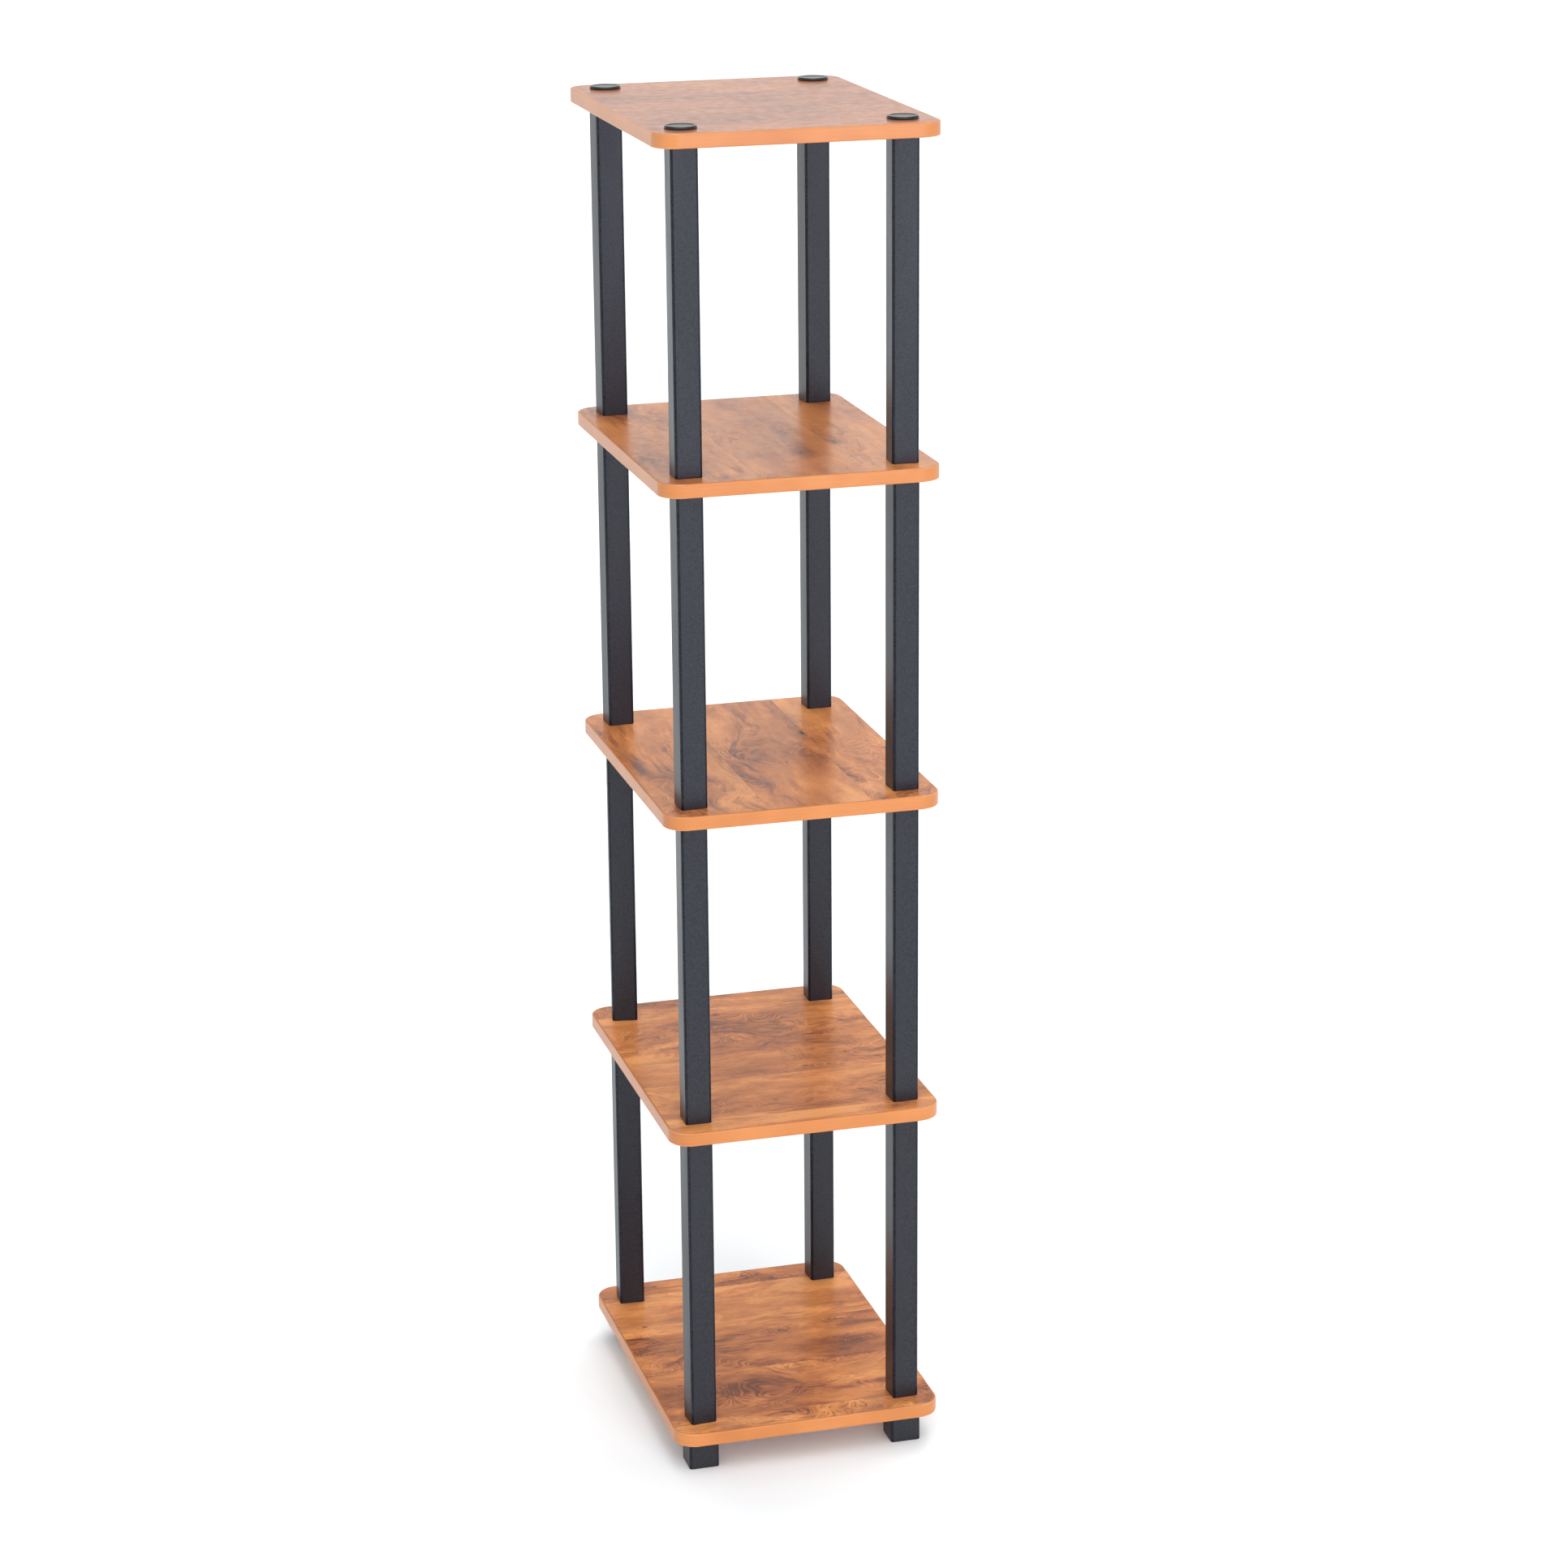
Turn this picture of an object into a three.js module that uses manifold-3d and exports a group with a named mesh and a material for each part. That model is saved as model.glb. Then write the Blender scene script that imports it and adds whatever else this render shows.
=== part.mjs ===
// A narrow display rack of five wood-grain shelves on square posts that screw together.
//
// Each post carries a threaded stud at its foot. The stud goes down through a hole in the shelf
// and screws into the socket at the head of the post below, so the shelf is clamped between the
// two. The lowest studs screw into four short feet, and four flat caps close the top shelf.
//
// Units are millimetres and +Z is up. The origin is on the floor, under the middle of the shelves,
// with +X to the right along the shelves' short side and +Y to the back along their long side.

import * as THREE from 'three';
import { mergeVertices } from 'three/addons/utils/BufferGeometryUtils.js';
import Module from 'manifold-3d';

const wasm = await Module();
wasm.setup();

// Shelves
const shelfWidth = 296;
const shelfDepth = 400;
const shelfThickness = 15;
const shelfCornerRadius = 24;
const shelfCount = 5;

// Edge band, a plastic strip glued round each shelf
const bandThickness = 2;
const bandArrisRadius = 1.4;
const glueLine = 0.25;

// Where the posts stand, measured from the shelf's edges to the post's middle: from its ends and
// from its front and back
const postInsetX = 34;
const postInsetY = 38;

// Posts, square plastic tube
const postSide = 28.5;
const postLength = 333;
const postCornerRadius = 3;
const postWall = 1.8;
const postEndRounding = 0.7;

// How far each post has turned past square where it came tight, in degrees, seen from above
const cornerNames = ['front_left', 'front_right', 'back_left', 'back_right'];
const postTurnDegrees = [
  { front_left: 4, front_right: 2.5, back_left: -3.5, back_right: 1.5 },
  { front_left: -1, front_right: 2, back_left: -11, back_right: -3 },
  { front_left: 2.5, front_right: 2.5, back_left: 2.5, back_right: 0.5 },
  { front_left: -1, front_right: -2.5, back_left: 3.5, back_right: 4.5 },
];

// Screw joint: stud, the hole it passes and the socket it screws into
const studRadius = 7.5;
const studTipChamfer = 1.5;
const studEngagement = 14;
const studCoreRadius = 4.2;
const threadClearance = 0.3;
const holeClearance = 0.5;
const socketSpareDepth = 2;
const socketWall = 2.6;
const socketFloor = 2.4;
const socketPlate = 3;

// Plug, the part of the stud piece that is pressed into the post
const plugLength = 20;
const plugClearance = 0.3;
const plugWall = 1.8;
const plugFloor = 4;
const plugCornerRadius = 1;

// Feet
const footSide = 33;
const footHeight = 37;
const footCornerRadius = 3;
const footWall = 2.4;
const footFloor = 4;
const footRounding = 0.8;
const footRibThickness = 2;
const footRibDrop = 6;

// Screw caps
const capRadius = 16.3;
const capHeight = 3.2;
const capRimRadius = 1.5;
const capUnderChamfer = 0.4;
const capDishRadius = 12.6;
const capDishDepth = 0.4;
const capDishSlope = 0.7;
const capStemEngagement = 12;
const capCoreRoof = 1.5;

// One overrun for every cut, so that no tool ends flush with a face
const overrun = 1;

// How many flats each round stretch is cut into: a corner is a quarter turn, a round a full one
const shelfCornerFacetCount = 6;
const postCornerFacetCount = 4;
const plugCornerFacetCount = 2;
const roundFacetCount = 12;
const capFacetCount = 20;
const rimFacetCount = 2;
const arrisFacetCount = 2;

// Derived sizes
const postX = shelfWidth / 2 - postInsetX;
const postY = shelfDepth / 2 - postInsetY;
const tierPitch = shelfThickness + postLength;
const postInnerSide = postSide - 2 * postWall;
const plugSide = postInnerSide - 2 * plugClearance;
const studLength = shelfThickness + studEngagement;
const capStemLength = shelfThickness + capStemEngagement;
const socketDepth = studEngagement + socketSpareDepth;
// A bore of flats is made wide enough for a round stud at any angle
const flatsToRound = 1 / Math.cos(Math.PI / roundFacetCount);
const holeRadius = (studRadius + holeClearance) * flatsToRound;
const socketRadius = (studRadius + threadClearance) * flatsToRound;
const socketBossRadius = socketRadius + socketWall;

// Finishes
const finishes = {
  laminate: { color: 0xc27a4f, roughness: 0.38, metalness: 0 },
  band: { color: 0xe59a60, roughness: 0.42, metalness: 0 },
  post: { color: 0x3b3c40, roughness: 0.5, metalness: 0 },
  insert: { color: 0x232427, roughness: 0.55, metalness: 0 },
  foot: { color: 0x36373b, roughness: 0.5, metalness: 0 },
  cap: { color: 0x1d1e20, roughness: 0.25, metalness: 0 },
};

// Outlines

// A rectangle about the origin with round corners, drawn anticlockwise
function roundedRectangle(width, depth, radius) {
  const x = width / 2 - radius;
  const y = depth / 2 - radius;
  const quarter = Math.PI / 2;
  const outline = new THREE.Shape();
  outline.absarc(x, y, radius, 0, quarter, false);
  outline.absarc(-x, y, radius, quarter, 2 * quarter, false);
  outline.absarc(-x, -y, radius, 2 * quarter, 3 * quarter, false);
  outline.absarc(x, -y, radius, 3 * quarter, 4 * quarter, false);
  outline.closePath();
  return outline;
}

function roundedSquare(side, radius) {
  return roundedRectangle(side, side, radius);
}

// Solids

// An upright bar of the given outline from z = 0, with its end edges eased where asked
function upright(outline, height, cornerFacetCount, easing = 0, easingFacetCount = 1) {
  const bar = new THREE.ExtrudeGeometry(outline, {
    depth: height - 2 * easing,
    curveSegments: cornerFacetCount / 2,
    bevelEnabled: easing > 0,
    bevelThickness: easing,
    bevelSize: easing,
    bevelOffset: -easing,
    bevelSegments: easingFacetCount,
  });
  return bar.translate(0, 0, easing);
}

// A turned shape about Z; the profile holds radius and height pairs, from the axis to the axis
function turned(profile, facetCount = roundFacetCount) {
  const points = profile.map(([radius, height]) => new THREE.Vector2(radius, height));
  return new THREE.LatheGeometry(points, facetCount).rotateX(Math.PI / 2);
}

// A plain round bar from z = 0
function round(radius, height) {
  return turned([[0, 0], [radius, 0], [radius, height], [0, height]]);
}

// A closed mesh as a solid that can be cut and joined
function solid(geometry) {
  const skin = geometry.clone();
  skin.deleteAttribute('normal');
  skin.deleteAttribute('uv');
  const merged = mergeVertices(skin);
  return new wasm.Manifold(new wasm.Mesh({
    numProp: 3,
    vertProperties: new Float32Array(merged.attributes.position.array),
    triVerts: new Uint32Array(merged.index.array),
  }));
}

function solidAt(geometry, z) {
  return solid(geometry.translate(0, 0, z));
}

// The solid back as a mesh's geometry
function geometryOf(body) {
  const { vertProperties, triVerts } = body.getMesh();
  const geometry = new THREE.BufferGeometry();
  geometry.setAttribute('position', new THREE.BufferAttribute(vertProperties, 3));
  geometry.setIndex(new THREE.BufferAttribute(triVerts, 1));
  return geometry;
}

// Shelf board: the core that the band goes round, with a hole at each post
function shelfBoard() {
  const edge = bandThickness + glueLine;
  const radius = shelfCornerRadius - edge;
  const outline = roundedRectangle(shelfWidth - 2 * edge, shelfDepth - 2 * edge, radius);
  const board = solid(upright(outline, shelfThickness, shelfCornerFacetCount));
  const drill = solidAt(round(holeRadius, shelfThickness + 2 * overrun), -overrun);
  return cornerPlaces().reduce((cut, [x, y]) => cut.subtract(drill.translate([x, y, 0])), board);
}

// Edge band: a ring whose outer arrises are rounded
function edgeBand() {
  const outer = roundedRectangle(shelfWidth, shelfDepth, shelfCornerRadius);
  const inner = roundedRectangle(
    shelfWidth - 2 * bandThickness,
    shelfDepth - 2 * bandThickness,
    shelfCornerRadius - bandThickness,
  );
  const slab = solid(
    upright(outer, shelfThickness, shelfCornerFacetCount, bandArrisRadius, arrisFacetCount),
  );
  const core = upright(inner, shelfThickness + 2 * overrun, shelfCornerFacetCount);
  return slab.subtract(solidAt(core, -overrun));
}

// Socket: a boss with a blind bore, its mouth at z = 0 and its floor below
function socketBoss() {
  const length = socketDepth + socketFloor;
  return solidAt(round(socketBossRadius, length), -length);
}

function socketBore() {
  return solidAt(round(socketRadius, socketDepth + overrun), -socketDepth);
}

// A square bar with small corners, from z = 0, for plugs and for the hollows they fit
function squareBar(side, radius, height) {
  return upright(roundedSquare(side, radius), height, plugCornerFacetCount);
}

// Post: a square tube, open at its foot for the plug and closed at its head by the socket
function post() {
  const outline = roundedSquare(postSide, postCornerRadius);
  const tube = solid(upright(outline, postLength, postCornerFacetCount, postEndRounding));
  const innerRadius = postCornerRadius - postWall;
  const bore = squareBar(postInnerSide, innerRadius, postLength - socketPlate + overrun);
  const head = [0, 0, postLength];
  return tube
    .subtract(solidAt(bore, -overrun))
    .add(socketBoss().translate(head))
    .subtract(socketBore().translate(head));
}

// Stud piece: a hollow square plug with a round stud hanging from its floor
function studPiece() {
  const plug = solid(squareBar(plugSide, plugCornerRadius, plugLength));
  const pocket = squareBar(plugSide - 2 * plugWall, plugCornerRadius, plugLength);
  const stud = solid(turned(studProfile(studLength, plugFloor / 2, 0)));
  return plug.subtract(solidAt(pocket, plugFloor)).add(stud);
}

// Profile of a cored stud that hangs below z = 0, from its root up inside the piece
function studProfile(length, root, coreRoof) {
  return [
    [0, -coreRoof],
    [studCoreRadius, -coreRoof],
    [studCoreRadius, -length],
    [studRadius - studTipChamfer, -length],
    [studRadius, -length + studTipChamfer],
    [studRadius, root],
    [0, root],
  ];
}

// Foot: a square cup that the lowest shelf rests on, with a ribbed socket standing in it
function foot() {
  const outline = roundedSquare(footSide, footCornerRadius);
  const shell = solid(upright(outline, footHeight, postCornerFacetCount, footRounding));
  const hollowSide = footSide - 2 * footWall;
  const hollow = squareBar(hollowSide, plugCornerRadius, footHeight);
  const ribHeight = footHeight - footRibDrop;
  const ribBox = new THREE.BoxGeometry(hollowSide + footWall, footRibThickness, ribHeight);
  const rib = solidAt(ribBox, ribHeight / 2);
  const boss = solid(round(socketBossRadius, footHeight));
  const head = [0, 0, footHeight];
  return shell
    .subtract(solidAt(hollow, footFloor))
    .add(rib)
    .add(rib.rotate([0, 0, 90]))
    .add(boss)
    .subtract(socketBore().translate(head));
}

// Cap: a flat round head with a dished top and a cored stem like the posts' studs
function cap() {
  const rimCentre = [capRadius - capRimRadius, capHeight - capRimRadius];
  const rim = [];
  for (let step = 0; step <= rimFacetCount; step += 1) {
    const angle = (step / rimFacetCount) * (Math.PI / 2);
    rim.push([
      rimCentre[0] + capRimRadius * Math.cos(angle),
      rimCentre[1] + capRimRadius * Math.sin(angle),
    ]);
  }
  const head = [
    [capRadius - capUnderChamfer, 0],
    [capRadius, capUnderChamfer],
    ...rim,
    [capDishRadius + capDishSlope, capHeight],
    [capDishRadius, capHeight - capDishDepth],
    [0, capHeight - capDishDepth],
  ];
  const stem = studProfile(capStemLength, 0, capCoreRoof).slice(0, -1);
  return solid(turned([...stem, ...head], capFacetCount));
}

// Assembly

function cornerPlaces() {
  return [[-postX, -postY], [postX, -postY], [-postX, postY], [postX, postY]];
}

function piece(name, geometry, finish) {
  const mesh = new THREE.Mesh(geometry, new THREE.MeshStandardMaterial(finishes[finish]));
  mesh.name = name;
  return mesh;
}

const rack = new THREE.Group();

const boardShape = geometryOf(shelfBoard());
const bandShape = geometryOf(edgeBand());
for (let level = 0; level < shelfCount; level += 1) {
  const shelf = new THREE.Group();
  shelf.add(piece(`shelf_${level + 1}`, boardShape, 'laminate'));
  shelf.add(piece(`edge_band_${level + 1}`, bandShape, 'band'));
  shelf.position.z = footHeight + level * tierPitch;
  rack.add(shelf);
}

const postShape = geometryOf(post());
const studShape = geometryOf(studPiece());
for (let tier = 0; tier < shelfCount - 1; tier += 1) {
  cornerPlaces().forEach(([x, y], corner) => {
    const name = cornerNames[corner];
    const turns = postTurnDegrees[tier % postTurnDegrees.length];
    const upstand = new THREE.Group();
    upstand.add(piece(`post_${tier + 1}_${name}`, postShape, 'post'));
    upstand.add(piece(`stud_${tier + 1}_${name}`, studShape, 'insert'));
    upstand.position.set(x, y, footHeight + shelfThickness + tier * tierPitch);
    upstand.rotation.z = THREE.MathUtils.degToRad(turns[name]);
    rack.add(upstand);
  });
}

const footShape = geometryOf(foot());
const capShape = geometryOf(cap());
const topFace = footHeight + shelfThickness + (shelfCount - 1) * tierPitch;
cornerPlaces().forEach(([x, y], corner) => {
  const base = piece(`foot_${cornerNames[corner]}`, footShape, 'foot');
  base.position.set(x, y, 0);
  const lid = piece(`cap_${cornerNames[corner]}`, capShape, 'cap');
  lid.position.set(x, y, topFace);
  rack.add(base, lid);
});

export default rack;
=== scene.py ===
# %% [markdown]
# A tiered shelf rack, dressed for the camera.
#
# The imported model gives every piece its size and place: five boards, their edge bands, sixteen
# square posts with screw studs, four feet and four screw caps. Blender adds what a drawing leaves
# out: true round edges, the wood print on the boards, and the sheen and grain of the plastic.
# Each piece is built in the model's own place, so nothing has to be fitted afterwards.

# %% The frame
import cmath
import math

import bmesh
import bpy
from mathutils import Matrix, Vector


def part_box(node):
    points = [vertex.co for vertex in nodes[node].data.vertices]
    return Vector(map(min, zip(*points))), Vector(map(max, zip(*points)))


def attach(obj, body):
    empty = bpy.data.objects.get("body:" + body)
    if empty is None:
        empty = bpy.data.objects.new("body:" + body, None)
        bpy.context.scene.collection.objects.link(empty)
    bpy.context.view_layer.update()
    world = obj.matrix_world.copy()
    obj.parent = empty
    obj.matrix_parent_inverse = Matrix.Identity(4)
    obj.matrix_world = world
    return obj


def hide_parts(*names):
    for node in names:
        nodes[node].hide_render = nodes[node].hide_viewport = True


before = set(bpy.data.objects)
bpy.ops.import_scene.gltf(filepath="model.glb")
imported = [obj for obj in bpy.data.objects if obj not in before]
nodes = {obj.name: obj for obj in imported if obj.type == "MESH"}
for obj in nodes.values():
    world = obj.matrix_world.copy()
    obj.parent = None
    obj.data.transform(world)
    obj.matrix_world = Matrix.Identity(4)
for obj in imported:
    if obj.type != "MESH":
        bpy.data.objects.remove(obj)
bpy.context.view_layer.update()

scene = bpy.context.scene
MM = 0.001
BODY = "root"
CORNERS = ("front_left", "front_right", "back_left", "back_right")
SHELVES = len([name for name in nodes if name.startswith("shelf_")])
TIERS = SHELVES - 1

# %% [markdown]
# The camera stands where the photographer stood: to the left of the rack, a little above its top
# shelf, with a long lens. Its place was found by fitting a pinhole camera to the edges of the five
# shelves. The fit gives a focal length in pixels, and the lens follows from it, because the
# sensor's width covers the picture's 1932 pixels. Building the axes from three angles keeps every
# number something that can be read off a tripod head.

# %% The camera
PHOTO_SIDE = 1932
FOCAL_PIXELS = 4866.5
SENSOR = 36.0
CAMERA_PLACE = Vector((-1.0613, -3.9337, 1.9728))
CAMERA_YAW = 0.2708
CAMERA_PITCH = -0.2999
CAMERA_ROLL = -0.0081


def camera_axes(yaw, pitch, roll):
    flat = math.cos(pitch)
    ahead = Vector((math.sin(yaw) * flat, math.cos(yaw) * flat, math.sin(pitch)))
    level = Vector((math.cos(yaw), -math.sin(yaw), 0))
    upright = level.cross(ahead)
    right = math.cos(roll) * level + math.sin(roll) * upright
    up = math.cos(roll) * upright - math.sin(roll) * level
    return Matrix((right, up, -ahead)).transposed()


lens = bpy.data.cameras.new("camera")
lens.sensor_width = SENSOR
lens.lens = SENSOR * FOCAL_PIXELS / PHOTO_SIDE
lens.clip_start, lens.clip_end = 0.05, 60
camera = bpy.data.objects.new("camera", lens)
scene.collection.objects.link(camera)
turn = camera_axes(CAMERA_YAW, CAMERA_PITCH, CAMERA_ROLL)
camera.matrix_world = Matrix.Translation(CAMERA_PLACE) @ turn.to_4x4()
scene.camera = camera
print(f"camera: {lens.lens:.1f} mm lens, {CAMERA_PLACE.length:.2f} m from the origin")

# %% [markdown]
# Materials are built from nodes, and a few helpers keep the recipes short. Each makes one node,
# sets or links its sockets, and hands back the output, so a recipe reads from top to bottom like
# the steps on a workshop card. All patterns are laid on Object coordinates, which are metres here.

# %% Shader helpers
def add(tree, kind, inputs=(), **settings):
    made = tree.nodes.new(kind)
    for key, value in settings.items():
        setattr(made, key, value)
    for key, value in dict(inputs).items():
        if isinstance(value, bpy.types.NodeSocket):
            tree.links.new(value, made.inputs[key])
        else:
            made.inputs[key].default_value = value
    return made


def maths(tree, operation, *values):
    return add(tree, "ShaderNodeMath", enumerate(values), operation=operation).outputs[0]


def vectors(tree, operation, *values):
    return add(tree, "ShaderNodeVectorMath", enumerate(values), operation=operation).outputs[0]


def noise(tree, place, scale, detail=2.0, roughness=0.5, output="Fac"):
    inputs = {"Vector": place, "Scale": scale, "Detail": detail, "Roughness": roughness}
    return add(tree, "ShaderNodeTexNoise", inputs).outputs[output]


def between(tree, value, low, high, start=0.0, end=1.0):
    inputs = {"Value": value, "From Min": low, "From Max": high, "To Min": start, "To Max": end}
    made = add(tree, "ShaderNodeMapRange", inputs, interpolation_type="SMOOTHSTEP")
    return made.outputs["Result"]


def ramp(tree, value, stops):
    made = add(tree, "ShaderNodeValToRGB", {"Fac": value})
    band = made.color_ramp
    band.elements[0].position, band.elements[0].color = stops[0][0], (*stops[0][1], 1)
    band.elements[1].position, band.elements[1].color = stops[-1][0], (*stops[-1][1], 1)
    for position, colour in stops[1:-1]:
        band.elements.new(position).color = (*colour, 1)
    return made.outputs["Color"]


MIX_COLOUR_A, MIX_COLOUR_B, MIX_COLOUR_RESULT = 6, 7, 2


def mixed(tree, factor, first, second, mode="MIX"):
    inputs = {0: factor, MIX_COLOUR_A: first, MIX_COLOUR_B: second}
    made = add(tree, "ShaderNodeMix", inputs, data_type="RGBA", blend_type=mode)
    return made.outputs[MIX_COLOUR_RESULT]


def new_material(name):
    made = bpy.data.materials.new(name)
    made.use_nodes = True
    made.node_tree.nodes.clear()
    tree = made.node_tree
    place = add(tree, "ShaderNodeTexCoord").outputs["Object"]
    return made, tree, place


def finish_surface(tree, colour, roughness, height, relief, **sockets):
    """The shader itself: colour, sheen and a fine relief, and more of its sockets by name."""
    bump = add(tree, "ShaderNodeBump", {"Height": height, "Strength": 1.0, "Distance": relief})
    inputs = {"Base Color": colour, "Roughness": roughness, "Normal": bump.outputs[0]}
    shader = add(tree, "ShaderNodeBsdfPrincipled", {**inputs, **sockets})
    add(tree, "ShaderNodeOutputMaterial", {"Surface": shader.outputs[0]})


# %% [markdown]
# The boards wear a printed laminate: a photograph of fruitwood planks, pressed on particle board
# under a satin skin. The print has planks about a hand wide with sharp seams, figure that runs in
# contour lines round knots and hollows, smoky dark patches and flecks, and fine fibres along the
# grain.
#
# An image would be the quick way, but a recipe never repeats and can be cut differently for each
# shelf, as a factory cuts boards from a long panel. The trick for the figure is to treat a smooth
# stretched noise as a height map and to draw its contour lines: that is what growth rings are when
# a saw cuts a plank along its length.
#
# Each shelf has its own cut: the turn of its grain, the place it was cut from, how calm its figure
# is, the contrast of its tone, and a shift of its tone. The top shelf's shift is painted shade: its
# print is made far darker, for the weaker light on it. The higher a shelf, the flatter it is seen,
# so sheen hides more of its print.

# %% The laminate
PLANK_WIDTH = 0.110
SEAM_WIDTH = 0.0008
PLANK_JUMP = 11.0
WOOD_TONES = (
    (0.00, (0.175, 0.058, 0.028)),
    (0.25, (0.330, 0.105, 0.040)),
    (0.50, (0.500, 0.175, 0.055)),
    (0.75, (0.645, 0.243, 0.075)),
    (1.00, (0.825, 0.352, 0.112)),
)
MIDDLE_TONE = 0.55
SMOKE = (0.105, 0.050, 0.038, 1)
KNOT = (0.045, 0.020, 0.016, 1)


def along_grain(tree, place, scale, detail=2.0, roughness=0.5):
    """Noise that is drawn out along X, with its own scale along and across the grain."""
    return noise(tree, vectors(tree, "MULTIPLY", place, (*scale, 1.0)), 1.0, detail, roughness)


def swing(tree, value, amount):
    """Turns a value about 0.5 into a push to either side of zero."""
    return maths(tree, "MULTIPLY", maths(tree, "SUBTRACT", value, 0.5), amount)


def laminate(name, grain_turn, shift, seed, calm, contrast, shade):
    """The wood print. The grain runs along X, or along Y where it has been turned by 90 degrees."""
    made, tree, place = new_material(name)
    mapping = {"Vector": place, "Location": shift, "Rotation": (0, 0, math.radians(grain_turn))}
    laid = add(tree, "ShaderNodeMapping", mapping).outputs[0]
    parts = add(tree, "ShaderNodeSeparateXYZ", {0: laid})
    plank = maths(tree, "DIVIDE", parts.outputs["Y"], PLANK_WIDTH)
    number = maths(tree, "ADD", maths(tree, "FLOOR", plank), seed)
    chance = add(tree, "ShaderNodeTexWhiteNoise", {"W": number}, noise_dimensions="1D")
    jump = vectors(tree, "MULTIPLY", chance.outputs["Color"], (PLANK_JUMP,) * 3)
    flat = add(tree, "ShaderNodeCombineXYZ", {0: parts.outputs["X"], 1: parts.outputs["Y"]})
    spot = vectors(tree, "ADD", flat.outputs[0], jump)

    # Crotch wood: some places are stirred strongly, others hardly at all, before anything is drawn
    wild = between(tree, along_grain(tree, spot, (5.0, 11.0), 1.0), 0.40 + calm, 0.66 + calm)
    reach = maths(tree, "MULTIPLY_ADD", wild, 0.085, 0.022)
    across = swing(tree, along_grain(tree, spot, (11.0, 15.0), 2.0, 0.45), 1.0)
    along = swing(tree, along_grain(tree, spot, (17.0, 13.0), 1.0), 1.0)
    push = maths(tree, "MULTIPLY", across, reach)
    slide = maths(tree, "MULTIPLY", along, reach)
    moved = add(tree, "ShaderNodeCombineXYZ", {0: slide, 1: push}).outputs[0]
    bent = vectors(tree, "ADD", spot, moved)

    # Knots lift the height map, so that its contour lines run round them
    cells = vectors(tree, "MULTIPLY", bent, (9.0, 21.0, 1.0))
    knots = add(tree, "ShaderNodeTexVoronoi", {"Vector": cells, "Scale": 1.0})
    picked = add(tree, "ShaderNodeSeparateColor", {0: knots.outputs["Color"]}).outputs[0]
    some = between(tree, picked, 0.50, 0.52)
    fray = swing(tree, noise(tree, spot, 90.0, 3.0), 0.10)
    ragged = maths(tree, "ADD", knots.outputs["Distance"], fray)
    lift = maths(tree, "MULTIPLY", between(tree, ragged, 0.55, 0.0), some)
    hills = along_grain(tree, bent, (7.0, 19.0), 1.5, 0.4)
    height = maths(tree, "MULTIPLY_ADD", lift, 0.30, hills)

    # Growth rings: each darkens slowly to a sharp late edge
    def rings(count):
        turned = maths(tree, "FRACT", maths(tree, "MULTIPLY", height, count))
        rise = between(tree, turned, 0.15, 0.80)
        return maths(tree, "MULTIPLY", rise, between(tree, turned, 1.0, 0.84))

    # They come and go along their length, so that none reads as a drawn line
    shown = maths(tree, "MAXIMUM", wild, between(tree, lift, 0.05, 0.6))
    breaks = between(tree, along_grain(tree, spot, (38.0, 66.0), 3.0, 0.6), 0.36, 0.56)
    shown = maths(tree, "MULTIPLY", shown, breaks)
    coarse = maths(tree, "MULTIPLY", rings(17.0), maths(tree, "MULTIPLY_ADD", shown, 0.20, 0.02))
    fine = maths(tree, "MULTIPLY", rings(47.0), maths(tree, "MULTIPLY_ADD", shown, 0.34, 0.03))

    # Tone: broad light and dark, streaks, blotches and flakes, flocks of dark feathers, and fibres,
    # and a step from plank to plank, less the rings
    tone = maths(tree, "ADD", swing(tree, along_grain(tree, bent, (5.0, 14.0), 3.0), 1.8), 0.72)
    streaks = along_grain(tree, bent, (15.0, 64.0), 4.0, 0.6)
    tone = maths(tree, "ADD", tone, swing(tree, streaks, 0.70))
    blotches = along_grain(tree, bent, (18.0, 46.0), 4.0, 0.62)
    tone = maths(tree, "ADD", tone, swing(tree, blotches, 0.85 - 7.0 * calm))
    flakes = along_grain(tree, bent, (140.0, 260.0), 3.0, 0.65)
    tone = maths(tree, "ADD", tone, swing(tree, flakes, 0.30))
    flock = between(tree, along_grain(tree, spot, (6.0, 13.0), 1.0), 0.42, 0.60)
    plumes = along_grain(tree, bent, (14.0, 105.0), 3.0, 0.55)
    feathers = between(tree, plumes, 0.52, 0.68, 0.0, -0.40)
    tone = maths(tree, "MULTIPLY_ADD", feathers, flock, tone)
    fibres = along_grain(tree, bent, (30.0, 620.0), 3.0, 0.6)
    tone = maths(tree, "ADD", tone, swing(tree, fibres, 0.28 - 1.8 * calm))
    tone = maths(tree, "ADD", tone, swing(tree, chance.outputs["Value"], 0.26))
    tone = maths(tree, "SUBTRACT", maths(tree, "SUBTRACT", tone, coarse), fine)
    # The shelf's own shift moves the whole print lighter or darker. On the top shelf it is painted
    # shade, which darkens the print for the weaker light on it.
    centred = maths(tree, "SUBTRACT", tone, MIDDLE_TONE)
    tone = maths(tree, "MULTIPLY_ADD", centred, contrast, MIDDLE_TONE + shade)
    colour = ramp(tree, tone, WOOD_TONES)

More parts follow.
